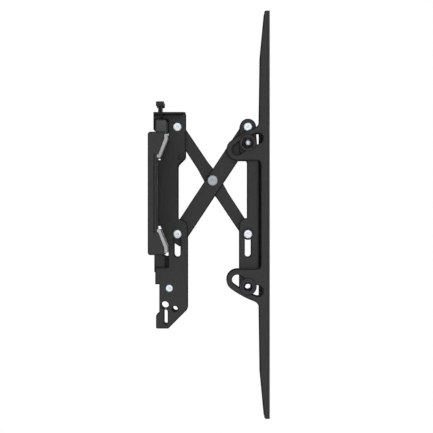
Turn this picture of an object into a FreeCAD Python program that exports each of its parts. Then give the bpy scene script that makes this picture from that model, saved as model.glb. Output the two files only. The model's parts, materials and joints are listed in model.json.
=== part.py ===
import FreeCAD, Part
import math
import os
import Sketcher
from FreeCAD import Placement, Rotation, Vector

# Extending, tilting wall mount for a television: a wide wall plate, and two mirrored arms hung on it.
# Frame: origin at the middle of the wall plate's back, +X from the wall to the television, +Y along
# the wall, +Z up. Millimetres.
# An arm is drawn by its own depth: depth 0 is the outer face of its brackets' outer side plates, and
# depth grows towards the middle of the mount.

sizes = {
    # wall plate
    "plateLength": 500.0,
    "plateFront": 10.3,        # front face of the plate's web, from the wall
    "plateSheet": 3.3,
    "cheekSheet": 2.5,         # folded ends that stand on the wall
    "cheekHalf": 67.65,
    "cheekCorner": 3.0,
    "cheekInset": 0.5,         # lips' cut ends stand this far past the cheeks
    "lipRoot": 39.3,           # height at which a lip leaves the web
    "lipTip": 65.0,
    "lipBend": 60.1,           # height at which a lip turns upright
    "lipInner": 18.3,          # inner face of a lip's upright edge
    "studSpacing": 406.4,
    "padRow": 24.0,            # height of the rows of fixing pads
    "padLength": 62.0,
    "padHeight": 22.0,
    "lagSlotLength": 42.0,
    "lagSlotWidth": 9.0,
    "dimpleRadius": 7.5,
    "dimplePitch": 68.0,
    # arms
    "armSpacing": 300.0,       # between the middles of the two rails
    "bracketSheet": 2.5,
    "linkSheet": 3.0,
    "railSheet": 2.5,
    "railWidth": 30.0,
    "earGap": 2.0,             # between an ear and the head bracket
    "washerThick": 0.5,
    "centreWasherThick": 0.7,
    "faceGap": 0.05,           # between faces that slide on each other
    "runGap": 0.08,            # radial, between a pin and the hole that turns on it
    "movingGap": 0.4,          # between bodies that pass each other
    # linkage
    "pivotReach": 32.2,        # wall pivots, from the wall
    "pivotSpan": 77.8,         # wall pivots to head pivots, arm drawn out
    "pivotTop": 73.3,
    "pivotDrop": 117.95,       # fixed pivot down to sliding pin, arm drawn out
    "foldTravel": 21.8,        # sliding pins' travel as the arm folds
    "pinRadius": 3.0,
    "rivetHead": 4.75,
    "rivetHigh": 1.6,
    "centreHead": 5.8,
    "outerLinkWidth": 18.4,
    "outerLinkShift": 2.3,     # outer link's middle line beyond its pivots
    "outerLinkTail": 10.0,     # square end past the pivot
    "outerLinkRound": 3.0,
    "innerLinkEnd": 12.8,
    "innerLinkWaist": 13.6,
    "innerLinkBoss": 9.4,
    "spacerRadius": 5.4,
    "slideWasher": 6.4,
    # wall bracket
    "bracketTop": 89.6,
    "bracketFoot": 148.6,
    "bracketBack": 5.9,
    "bracketUpperFront": 41.5,
    "bracketLowerFront": 43.7,
    "bracketWaist": 33.2,
    "waistTop": 31.0,
    "waistFoot": -28.0,
    "bossRound": 9.5,
    "bracketRound": 5.5,
    "notchDepth": 22.5,
    "notchTop": 81.2,
    "notchFoot": 81.4,
    "innerNotchTop": 72.0,
    "innerNotchFoot": 69.0,
    "nestBack": 10.7,          # side plates' edge before the wall plate's web
    "nestRise": 2.5,           # upright clearance under the upper lip, for levelling up
    "nestDrop": 3.5,           # and over the lower lip, for levelling down
    "legFoot": 70.0,           # foot of the upper back leg
    "lowerBack": 7.9,
    "heelBack": 12.4,
    "heelTop": 99.9,
    "heelFoot": 131.0,
    "footBack": 8.8,
    "flangeWide": 16.0,
    "embossLength": 7.8,       # slanted stiffening bead above the waist
    "embossHalf": 1.7,
    "embossHigh": 0.35,
    "embossRise": 10.0,
    "cornerCut": 21.4,         # 45 degree corner at the foot
    # levelling hook and screw
    "hookWide": 13.6,
    "hookBack": 8.3,
    "hookFront": 20.7,
    "hookFoot": 46.0,
    "hookCorner": 3.0,
    "screwReach": 13.2,
    "screwRadius": 2.25,
    "screwHead": 4.55,
    "screwTop": 101.4,
    "screwHeadHigh": 5.7,
    "screwSocket": 1.0,        # depth of the screw tip's seat
    "hexKey": 2.5,             # across the flats of the screw's socket
    # latch
    "latchSheet": 2.5,
    "latchTravel": 13.0,
    "latchPivotReach": 23.4,
    "latchPivotDrop": 104.2,
    "latchPin": 2.0,
    "latchHead": 4.05,
    "keyholeReach": 18.7,
    "keyholeDrop": 122.7,
    "keyholeRadius": 4.05,
    "keySlotReach": 19.55,
    "keySlotHalf": 2.05,
    "keySlotTop": 127.75,
    "keySlotFoot": 143.9,
    "cordHoleReach": 29.6,
    "cordHoleDrop": 126.8,
    "cordHoleRadius": 3.05,
    "springReach": 37.0,
    "springTop": 93.0,
    "springFoot": 119.5,
    "springRadius": 1.9,
    "springWire": 0.6,
    "springPitch": 1.6,
    "postRadius": 1.2,
    # head bracket
    "headBack": 9.6,           # head bracket's back edge, towards the wall from the head pivots
    "headFront": 9.9,          # its front edge, beyond the head pivots
    "headWaist": 0.8,
    "headBossRadius": 9.0,
    "headWaistTop": 35.0,
    "headWaistFoot": -27.0,
    "headBossRound": 8.0,
    "headWebTop": 50.0,
    "headWebFoot": 94.0,
    "headSheet": 2.4,
    "headBend": 2.3,           # outside radius of the head bracket's folds
    # tilt
    "tiltReach": 41.8,         # tilt axis, beyond the head pivots
    "tiltHeight": -23.35,
    "boltHalf": 79.15,         # tilt bolts above and below the axis
    "tiltSlotHalf": 5.83,
    "tiltBackAngle": 8.9,      # slot's run past the bolt, wall side
    "tiltFrontAngle": 7.6,
    "earRim": 6.2,
    "collarGap": 0.33,         # radial, between a bolt's collar and its arc slot
    "studRadius": 4.0,
    "studEnd": 10.0,           # stud past the rail's flange
    "nutFlats": 13.0,
    "nutHigh": 6.5,
    "tiltWasher": 9.35,
    "tiltWasherThick": 1.5,
    "bushBore": 3.1,
    "bushBody": 4.3,
    "bushFlange": 7.3,
    "bushFlangeThick": 1.5,
    # rail
    "railPast": 24.6,          # rail past its outermost screw holes
    "railFront": 24.0,         # rail's face, beyond the head pivots
    "railEdge": 12.3,          # flanges' free edge beside the ears, beyond the head pivots
    "railCutEdge": 14.2,       # flange's free edge between the ears
    "railTaperEdge": 13.3,
    "railTaperStart": 174.0,
    "railEndEdge": 18.1,
    "railBend": 3.0,
    "railEndRound": 2.2,
    "earFillet": 9.0,
    "cutFillet": 4.4,
    "screwHoleRadius": 4.25,
    "screwSlotLength": 20.0,
    "patternTall": 400.0,
    "patternStep": 100.0,
}

doc = FreeCAD.newDocument("WallMount")
sheet = doc.addObject("Spreadsheet::Sheet", "Dims")
for row, (alias, number) in enumerate(sizes.items(), start=1):
    sheet.set(f"A{row}", alias)
    sheet.set(f"B{row}", str(number))
    sheet.setAlias(f"B{row}", alias)
doc.recompute()


class Size:
    """A number of the sheet, or a sum of such numbers, with the expression that gives it."""

    def __init__(self, value, text):
        self.value = float(value)
        self.text = text

    def __add__(self, other):
        other = size(other)
        return Size(self.value + other.value, f"({self.text} + {other.text})")

    def __sub__(self, other):
        other = size(other)
        return Size(self.value - other.value, f"({self.text} - {other.text})")

    def __mul__(self, other):
        other = size(other)
        return Size(self.value * other.value, f"({self.text} * {other.text})")

    def __truediv__(self, other):
        other = size(other)
        return Size(self.value / other.value, f"({self.text} / {other.text})")

    def __radd__(self, other):
        return size(other) + self

    def __rsub__(self, other):
        return size(other) - self

    def __rmul__(self, other):
        return size(other) * self

    def __neg__(self):
        return size(-1) * self


def size(thing):
    return thing if isinstance(thing, Size) else Size(thing, f"({float(thing)!r})")


def root(area):
    return Size(math.sqrt(area.value), f"sqrt({area.text})")


def sine(angle):
    return Size(math.sin(math.radians(angle.value)), f"sin({angle.text})")


def cosine(angle):
    return Size(math.cos(math.radians(angle.value)), f"cos({angle.text})")


class Dims:
    """Every driving dimension as an attribute."""


for alias, number in sizes.items():
    setattr(Dims, alias, Size(sheet.get(alias), f"Dims.{alias}"))
d = Dims

# Depths through an arm
outerLinkNear = d.bracketSheet + d.washerThick + 2 * d.faceGap
outerLinkFar = outerLinkNear + d.linkSheet
innerLinkNear = outerLinkFar + d.centreWasherThick + 2 * d.faceGap
innerLinkFar = innerLinkNear + d.linkSheet
farPlateNear = innerLinkFar + d.washerThick + 2 * d.faceGap
farPlateFar = farPlateNear + d.bracketSheet
earFar = -d.earGap
earNear = earFar - d.railSheet
railFar = earNear + d.railWidth
armOffset = d.armSpacing / 2 + d.railWidth / 2 + earNear   # depth 0, from the mount's middle plane

# Heights and places of the pivots
pinRestHeight = d.pivotTop - d.pivotDrop
headReach = d.pivotReach + d.pivotSpan
headBack = headReach - d.headBack
headFront = headReach + d.headFront
headWaist = headReach - d.headWaist
tiltReach = headReach + d.tiltReach
railFront = headReach + d.railFront
railEdge = headReach + d.railEdge
railCutEdge = headReach + d.railCutEdge
railTaperEdge = headReach + d.railTaperEdge
railEndEdge = headReach + d.railEndEdge
centreReach = d.pivotReach + d.pivotSpan / 2
centreHeight = d.pivotTop - d.pivotDrop / 2
linkLength = root(d.pivotSpan * d.pivotSpan + d.pivotDrop * d.pivotDrop)
linkLean = math.degrees(math.atan2(sizes["pivotSpan"], sizes["pivotDrop"]))
slotHalf = d.pinRadius + d.movingGap
collarRadius = d.tiltSlotHalf - d.collarGap
railHalf = d.patternTall / 2 + d.railPast
upperBolt = d.tiltHeight + d.boltHalf
lowerBolt = d.tiltHeight - d.boltHalf
boltArm = root(d.tiltReach * d.tiltReach + d.boltHalf * d.boltHalf)
boltAngle = math.degrees(math.atan2(sizes["boltHalf"], sizes["tiltReach"]))

nodes = []


def bind(thing, name, amount):
    """Give a property its size and the expression that keeps it."""
    thing.setExpression(name, amount.text)


def place(thing, x, y, z, rotation=None):
    spot = [size(x), size(y), size(z)]
    thing.Placement = Placement(Vector(*[p.value for p in spot]), rotation or Rotation())
    for axis, amount in zip("xyz", spot):
        thing.setExpression(f"Placement.Base.{axis}", amount.text)


class Arm:
    """Left arm (side -1, at -Y) or right arm (side +1), one the mirror of the other."""

    def __init__(self, word, side):
        self.word = word
        self.side = side
        self.origin = side * armOffset

    def y(self, depth):
        return self.origin - self.side * size(depth)

    def low(self, near, far):
        return self.y(near) if self.side < 0 else self.y(far)


class Centre:
    """Stands in for an arm where a piece belongs to the whole mount: depth is then +Y."""

    word = ""
    side = -1
    origin = size(0)


def newBody(arm, label, x=0, z=0, rotation=None):
    body = doc.addObject("PartDesign::Body", label)
    body.Label = label
    body.AllowCompound = True
    place(body, x, arm.origin, z, rotation)
    return body


def sketchOn(body, role, name):
    sketch = body.newObject("Sketcher::SketchObject", name)
    plane = [feature for feature in body.Origin.OriginFeatures if feature.Role == role][0]
    sketch.AttachmentSupport = [(plane, "")]
    sketch.MapMode = "FlatFace"
    return sketch


def pin(sketch, geometry, point, x, y):
    """Hold one point of the sketch at two sizes from its origin."""
    for kind, amount in (("DistanceX", x), ("DistanceY", y)):
        index = sketch.addConstraint(Sketcher.Constraint(kind, -1, 1, geometry, point, amount.value))
        sketch.setExpression(f"Constraints[{index}]", amount.text)


def addPolygon(sketch, corners):
    corners = [(size(x), size(y)) for x, y in corners]
    points = [Vector(x.value, y.value, 0) for x, y in corners]
    first = sketch.GeometryCount
    count = len(points)
    for i in range(count):
        sketch.addGeometry(Part.LineSegment(points[i], points[(i + 1) % count]))
    for i in range(count):
        sketch.addConstraint(Sketcher.Constraint("Coincident", first + i, 2, first + (i + 1) % count, 1))
    for i, (x, y) in enumerate(corners):
        pin(sketch, first + i, 1, x, y)


def addCircle(sketch, x, y, radius):
    x, y, radius = size(x), size(y), size(radius)
    circle = Part.Circle(Vector(x.value, y.value, 0), Vector(0, 0, 1), radius.value)
    index = sketch.addGeometry(circle)
    pin(sketch, index, 3, x, y)
    held = sketch.addConstraint(Sketcher.Constraint("Radius", index, radius.value))
    sketch.setExpression(f"Constraints[{held}]", radius.text)


def addSlot(sketch, x, low, high, half):
    """Upright round-ended slot from one end centre to the other."""
    x, low, high, half = size(x), size(low), size(high), size(half)
    a, b = Vector(x.value, low.value, 0), Vector(x.value, high.value, 0)
    side = Vector(half.value, 0, 0)
    axis = Vector(0, 0, 1)
    foot = sketch.addGeometry(Part.ArcOfCircle(Part.Circle(a, axis, half.value), math.pi, 2 * math.pi))
    head = sketch.addGeometry(Part.ArcOfCircle(Part.Circle(b, Vector(0, 0, 1), half.value), 0, math.pi))
    right = sketch.addGeometry(Part.LineSegment(a + side, b + side))
    left = sketch.addGeometry(Part.LineSegment(b - side, a - side))
    ring = [foot, right, head, left]
    for one, end, other, start in [(ring[i], 2, ring[(i + 1) % 4], 1) for i in range(4)]:
        sketch.addConstraint(Sketcher.Constraint("Tangent", one, end, other, start))
    pin(sketch, foot, 3, x, low)
    pin(sketch, head, 3, x, high)
    held = sketch.addConstraint(Sketcher.Constraint("Radius", foot, half.value))
    sketch.setExpression(f"Constraints[{held}]", half.text)


def addSlantedSlot(sketch, x1, y1, x2, y2, half):
    """Round-ended slot rising at 45 degrees from one end centre to the other."""
    a, b = Vector(x1.value, y1.value, 0), Vector(x2.value, y2.value, 0)
    side = Vector(1, -1, 0) * (half.value / math.sqrt(2))
    axis = Vector(0, 0, 1)
    turn = math.pi / 4
    foot = sketch.addGeometry(Part.ArcOfCircle(Part.Circle(a, axis, half.value), 3 * turn, 7 * turn))
    head = sketch.addGeometry(Part.ArcOfCircle(Part.Circle(b, axis, half.value), -turn, 3 * turn))
    right = sketch.addGeometry(Part.LineSegment(a + side, b + side))
    left = sketch.addGeometry(Part.LineSegment(b - side, a - side))
    ring = [foot, right, head, left]
    for one, end, other, start in [(ring[i], 2, ring[(i + 1) % 4], 1) for i in range(4)]:
        sketch.addConstraint(Sketcher.Constraint("Tangent", one, end, other, start))
    pin(sketch, foot, 3, x1, y1)
    pin(sketch, head, 3, x2, y2)
    held = sketch.addConstraint(Sketcher.Constraint("Radius", foot, half.value))
    sketch.setExpression(f"Constraints[{held}]", half.text)


def slab(arm, body, name, draw, near, far):
    """Pad what draw puts in an upright sketch, from one depth to another."""
    near, far = size(near), size(far)
    sketch = sketchOn(body, "XZ_Plane", name + "Sketch")
    draw(sketch)
    sketch.setExpression("AttachmentOffset.Base.z", (arm.side * near).text)
    pad = body.newObject("PartDesign::Pad", name)
    pad.Profile = sketch
    bind(pad, "Length", far - near)
    pad.Reversed = arm.side < 0
    doc.recompute()
    return pad


def pierce(arm, body, name, draw, near, far):
    """Cut what draw puts in an upright sketch, from just before one depth to just past another."""
    spare = size(1)
    near, far = size(near) - spare, size(far) + spare
    before = body.Shape.Volume
    sketch = sketchOn(body, "XZ_Plane", name + "Sketch")
    draw(sketch)
    sketch.setExpression("AttachmentOffset.Base.z", (arm.side * near).text)
    pocket = body.newObject("PartDesign::Pocket", name)
    pocket.Profile = sketch
    bind(pocket, "Length", far - near)
    pocket.Reversed = arm.side > 0
    doc.recompute()
    if body.Shape.Volume > before - 0.01:
        raise RuntimeError(f"{body.Label}: {name} cuts nothing")
    return pocket


def edgesAlong(shape, axis, spots, reach=0.02):
    """Names of the straight edges along one axis (0, 1 or 2) that pass through the given spots."""
    others = [i for i in range(3) if i != axis]
    found = []
    for number, edge in enumerate(shape.Edges, start=1):
        if not isinstance(edge.Curve, Part.Line) or abs(abs(edge.Curve.Direction[axis]) - 1) > 1e-6:
            continue
        point = edge.Vertexes[0].Point
        for spot in spots:
            if all(abs(point[i] - size(where).value) < reach for i, where in zip(others, spot)):
                found.append(f"Edge{number}")
                break
    return found


def roundCorners(body, name, corners, radius, axis=1):
    """Fillet the edges that stand on the given corners of the outline."""
    doc.recompute()
    base = body.Tip
    names = edgesAlong(base.Shape, axis, corners)
    if len(names) < len(corners):
        raise RuntimeError(f"{body.Label}: {name} found {len(names)} edges for {len(corners)} corners")
    addFillet(body, name, base, names, radius)


def addFillet(body, name, base, names, radius):
    fillet = body.newObject("PartDesign::Fillet", name)
    fillet.Base = (base, names)
    bind(fillet, "Radius", size(radius))
    doc.recompute()
    if fillet.Shape.isNull():
        raise RuntimeError(f"{body.Label}: {name} failed")


def roundRims(body, name, rims, radius):
    """Fillet the circular edges of the given radii that lie at the given places along the axis."""
    doc.recompute()
    base = body.Tip
    names = []
    for number, edge in enumerate(base.Shape.Edges, start=1):
        if isinstance(edge.Curve, Part.Circle):
            for axis, rimRadius, where in rims:
                near = abs(edge.Curve.Radius - size(rimRadius).value) < 0.01
                if near and abs(edge.Curve.Center[axis] - size(where).value) < 0.01:
                    names.append(f"Edge{number}")
    addFillet(body, name, base, names, radius)


def turned(arm, label, x, z, profile, upright=False):
    """Body turned from a profile of (radius, place) corners, place being a depth or, upright, a height."""
    body = newBody(arm, label, x, z)
    sketch = sketchOn(body, "XZ_Plane" if upright else "XY_Plane", "Profile")
    along = 1 if upright else -arm.side
    addPolygon(sketch, [(radius, along * size(where)) for radius, where in profile])
    turn = body.newObject("PartDesign::Revolution", "Turn")
    turn.Profile = sketch
    turn.ReferenceAxis = (sketch, ["V_Axis"])
    turn.Angle = 360
    doc.recompute()
    return body


def rod(label, x, y, z, radius, long):
    """Cylinder along +Y, from a point."""
    cylinder = doc.addObject("Part::Cylinder", label)
    bind(cylinder, "Radius", size(radius))
    bind(cylinder, "Height", size(long))
    place(cylinder, x, y, z, Rotation(Vector(1, 0, 0), -90))
    return cylinder


def block(label, x, y, z, long, wide, high):
    box = doc.addObject("Part::Box", label)
    for name, amount in (("Length", long), ("Width", wide), ("Height", high)):
        bind(box, name, size(amount))
    place(box, x, y, z)
    return box


def joined(kind, label, base, *tools):
    """Part boolean of two or more objects."""
    result = doc.addObject(kind, label)
    if kind == "Part::Cut":
        result.Base, result.Tool = base, tools[0]
    elif kind == "Part::Compound":
        result.Links = [base, *tools]
    else:
        result.Shapes = [base, *tools]
    result.Label = label
    return result


def rings(arm, label, places):
    """Flat rings as one group: each (x, z, near, far, outer radius, bore radius)."""
    made = []
    for number, (x, z, near, far, outer, bore) in enumerate(places):
        near, far = size(near), size(far)
        low = arm.low(near, far)
        name = f"{label}_{number}"
        disc = rod(name + "_disc", x, low, z, outer, far - near)
        hole = rod(name + "_hole", x, low - 1, z, bore, far - near + 2)
        made.append(joined("Part::Cut", name + "_ring", disc, hole))
    nodes.append(joined("Part::Compound", label, *made))


# ---------------------------------------------------------------- wall plate
def lipOuterBend():
    """Height at which a lip's outer face turns upright."""
    run = (d.lipInner - d.plateFront) / (d.lipBend - d.lipRoot)
    return d.lipBend - run * d.plateSheet


def lipLean():
    """Run over rise of a lip's outer face."""
    return (d.lipInner - d.plateFront) / (lipOuterBend() - d.lipRoot)


def lipProfile():
    """Half of the folded sheet, from the middle up: web, shelf and leaning lip."""
    back = d.plateFront - d.plateSheet
    lipOuter = d.lipInner + d.plateSheet
    shelfTop = d.lipRoot + d.plateSheet
    return [
        (back, shelfTop), shelfEnd(), (d.lipInner, d.lipBend), (d.lipInner, d.lipTip), (lipOuter, d.lipTip),
        (lipOuter, lipOuterBend()), (d.plateFront + d.plateSheet, d.lipRoot), (d.plateFront, d.lipRoot),
    ]


def shelfEnd():
    """Corner at which a lip's inner face leaves the shelf."""
    return (d.plateFront + lipLean() * d.plateSheet, d.lipRoot + d.plateSheet)


def makeWallPlate():
    hub = Centre()
    body = newBody(hub, "wall_plate")
    half = d.plateLength / 2
    upper = lipProfile()
    lower = [(x, -z) for x, z in reversed(upper)]
    slab(hub, body, "Fold", lambda sketch: addPolygon(sketch, upper + lower), -half, half)
    reach = d.lipInner + d.plateSheet / 2
    above = [(d.plateFront, d.lipRoot), (reach, lipOuterBend()), (reach, d.lipTip - 0.5),
             (d.lipInner, d.cheekHalf)]
    below = [(x, -z) for x, z in reversed(above)]
    cheek = [(0, -d.cheekHalf), *below, *above, (0, d.cheekHalf)]
    inset = half - d.cheekInset
    slab(hub, body, "NearCheek", lambda sketch: addPolygon(sketch, cheek), -inset, d.cheekSheet - inset)
    slab(hub, body, "FarCheek", lambda sketch: addPolygon(sketch, cheek), inset - d.cheekSheet, inset)
    roundCorners(body, "CheekCorners", [cheek[0], cheek[-1]], d.cheekCorner)
    wall = d.cheekSheet
    columns = [-d.studSpacing / 2, size(0), d.studSpacing / 2]
    pads = [(y, row * d.padRow) for y in columns for row in (-1, 1)]

    def padSketch(name, along, shrink):
        """Round-ended pads, and round dimples on the middle line, in a sketch facing the television."""
        sketch = sketchOn(body, "YZ_Plane", name)
        half_high = d.padHeight / 2 - shrink
        reach = d.padLength / 2 - d.padHeight / 2
        for y, z in pads:
            addFlatSlot(sketch, y - reach, y + reach, z, half_high)
        for step in (-2, -1, 0, 1, 2):
            addCircle(sketch, step * d.dimplePitch, 0, d.dimpleRadius - shrink)
        return sketch

    bosses = padSketch("PadSketch", 0, size(0))
    pad = body.newObject("PartDesign::Pad", "Pads")
    pad.Profile = bosses
    bind(pad, "Length", d.plateFront - d.plateSheet / 2)
    doc.recompute()
    before = body.Shape.Volume
    dish = padSketch("DishSketch", 0, wall)
    bind(dish, "AttachmentOffset.Base.z", wall)
    cut = body.newObject("PartDesign::Pocket", "Dishes")
    cut.Profile = dish
    cut.Reversed = True
    bind(cut, "Length", d.plateFront)
    doc.recompute()
    slots = sketchOn(body, "YZ_Plane", "LagSketch")
    run = d.lagSlotLength / 2 - d.lagSlotWidth / 2
    for y, z in pads:
        if y.value:
            addFlatSlot(slots, y - run, y + run, z, d.lagSlotWidth / 2)
        else:
            addCircle(slots, 0, z, d.lagSlotWidth / 2)
    holes = body.newObject("PartDesign::Pocket", "LagSlots")
    holes.Profile = slots
    holes.Reversed = True
    bind(holes, "Length", d.plateFront)
    doc.recompute()
    if body.Shape.Volume > before - 100:
        raise RuntimeError("wall_plate: the dishes cut nothing")
    nodes.append(body)


def addFlatSlot(sketch, left, right, y, half):
    """Level round-ended slot from one end centre to the other."""
    left, right, y, half = size(left), size(right), size(y), size(half)
    a, b = Vector(left.value, y.value, 0), Vector(right.value, y.value, 0)
    up = Vector(0, half.value, 0)
    start = sketch.addGeometry(
        Part.ArcOfCircle(Part.Circle(a, Vector(0, 0, 1), half.value), math.pi / 2, 3 * math.pi / 2))
    low = sketch.addGeometry(Part.LineSegment(a - up, b - up))
    end = sketch.addGeometry(
        Part.ArcOfCircle(Part.Circle(b, Vector(0, 0, 1), half.value), -math.pi / 2, math.pi / 2))
    high = sketch.addGeometry(Part.LineSegment(b + up, a + up))
    ring = [start, low, end, high]
    for one, last, other, first in [(ring[i], 2, ring[(i + 1) % 4], 1) for i in range(4)]:
        sketch.addConstraint(Sketcher.Constraint("Tangent", one, last, other, first))
    pin(sketch, start, 3, left, y)
    pin(sketch, end, 3, right, y)
    held = sketch.addConstraint(Sketcher.Constraint("Radius", start, half.value))
    sketch.setExpression(f"Constraints[{held}]", half.text)


# ---------------------------------------------------------------- levelling hook, screw
def makeHook(arm):
    """Cast hook that sits on the upper lip; the levelling screw stands on it."""
    body = newBody(arm, arm.word + "_hook_block")
    endX, endZ = shelfEnd()
    inner = d.lipInner - d.movingGap
    seat = d.lipTip + d.faceGap
    tip = inner - (d.lipInner - endX) / (d.lipBend - endZ) * (d.lipBend - d.hookFoot)
    outline = [
        (d.hookBack, d.hookFoot), (tip, d.hookFoot), (inner, d.lipBend), (inner, seat), (d.hookFront, seat),
        (d.hookFront, d.notchTop), (d.hookBack, d.notchTop),
    ]
    slab(arm, body, "Block", lambda sketch: addPolygon(sketch, outline),
         -d.movingGap - d.hookWide, -d.movingGap)
    roundCorners(body, "TopCorner", [(d.hookFront, d.notchTop)], d.hookCorner)
    tongueTop = d.notchTop - 5
    tongue = [(d.hookBack + 1, seat + 2), (d.hookFront - 1, seat + 2),
              (d.hookFront - 1, tongueTop), (d.hookBack + 1, tongueTop)]
    slab(arm, body, "Tongue", lambda sketch: addPolygon(sketch, tongue), -d.movingGap, outerLinkNear)
    keeperFront = d.pivotReach - d.spacerRadius - d.movingGap
    keeper = [(d.hookBack, seat + 2), (keeperFront, seat + 2),
              (keeperFront, tongueTop + 2.5), (d.hookBack, tongueTop + 2.5)]
    slab(arm, body, "Keeper", lambda sketch: addPolygon(sketch, keeper),
         d.bracketSheet + 0.3, outerLinkFar - 0.3)
    seatSketch = sketchOn(body, "XY_Plane", "SeatSketch")
    depth = screwDepth()
    addCircle(seatSketch, d.screwReach, -arm.side * depth, d.screwRadius + d.runGap)
    bind(seatSketch, "AttachmentOffset.Base.z", d.notchTop)
    seatCut = body.newObject("PartDesign::Pocket", "ScrewSeat")
    seatCut.Profile = seatSketch
    bind(seatCut, "Length", d.screwSocket + d.faceGap)
    doc.recompute()
    nodes.append(body)


def screwDepth():
    return -d.movingGap - d.hookWide / 2


def makeLevelScrew(arm):
    foot = d.notchTop - d.screwSocket
    neck = d.screwTop - d.screwHeadHigh
    label = arm.word + "_level_screw"
    body = turned(arm, label, d.screwReach, 0, [
        (0, foot), (d.screwRadius - 0.4, foot), (d.screwRadius, foot + 0.4), (d.screwRadius, neck),
        (d.screwHead - 1.4, neck), (d.screwHead, neck + 1.9), (d.screwHead, d.screwTop - 0.4),
        (d.screwHead - 0.4, d.screwTop), (0, d.screwTop),
    ], upright=True)
    place(body, d.screwReach, arm.y(screwDepth()), 0)
    socket = sketchOn(body, "XY_Plane", "SocketSketch")
    corner = d.hexKey / (2 * cosine(size(30)))
    addPolygon(socket, [(corner * cosine(size(60 * i)), corner * sine(size(60 * i))) for i in range(6)])
    bind(socket, "AttachmentOffset.Base.z", d.screwTop)
    cut = body.newObject("PartDesign::Pocket", "Socket")
    cut.Profile = socket
    bind(cut, "Length", d.screwHeadHigh / 2)
    doc.recompute()
    nodes.append(body)


# ---------------------------------------------------------------- wall bracket
def bracketOutline(notchTop, notchFoot):
    """Side plate of the wall bracket, counter-clockwise from its foot; it nests between the lips."""
    front = d.bracketLowerFront
    upperFlare = d.bracketUpperFront - d.bracketWaist
    shelf = d.plateFront + d.plateSheet
    nestEnd = lipOuterBend() + (d.notchDepth - d.lipInner - d.plateSheet) / lipLean()
    return {
        "foot": (d.footBack, -d.bracketFoot),
        "cutFoot": (front - d.cornerCut, -d.bracketFoot),
        "cutHead": (front, d.cornerCut - d.bracketFoot),
        "boss": (front, d.waistFoot - 1),
        "waistFoot": (d.bracketWaist, d.waistFoot),
        "waistTop": (d.bracketWaist, d.waistTop),
        "shoulder": (d.bracketUpperFront, d.waistTop + upperFlare),
        "top": (d.bracketUpperFront, d.bracketTop),
        "topBack": (d.bracketBack, d.bracketTop),
        "legFoot": (d.bracketBack, d.legFoot),
        "legInner": (d.bracketBack + d.bracketSheet - 0.5, d.legFoot),
        "notchHead": (d.bracketBack + d.bracketSheet - 0.5, notchTop),
        "notchTop": (d.notchDepth, notchTop),
        "nestTop": (d.notchDepth, nestEnd - d.nestRise),
        "shelfTop": (shelf, d.lipRoot - d.nestRise),
        "nestUpper": (d.nestBack, d.lipRoot - d.nestRise),
        "nestLower": (d.nestBack, d.nestDrop - d.lipRoot),
        "shelfFoot": (shelf, d.nestDrop - d.lipRoot),
        "nestFoot": (d.notchDepth, d.nestDrop - nestEnd),
        "notchFoot": (d.notchDepth, -notchFoot),
        "lowerTop": (d.lowerBack, -notchFoot),
        "lowerFoot": (d.lowerBack, -d.heelTop),
        "heelTop": (d.heelBack, -d.heelTop),
        "heelFoot": (d.heelBack, -d.heelFoot),
        "footTop": (d.footBack, -d.heelFoot - 3),
    }


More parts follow.
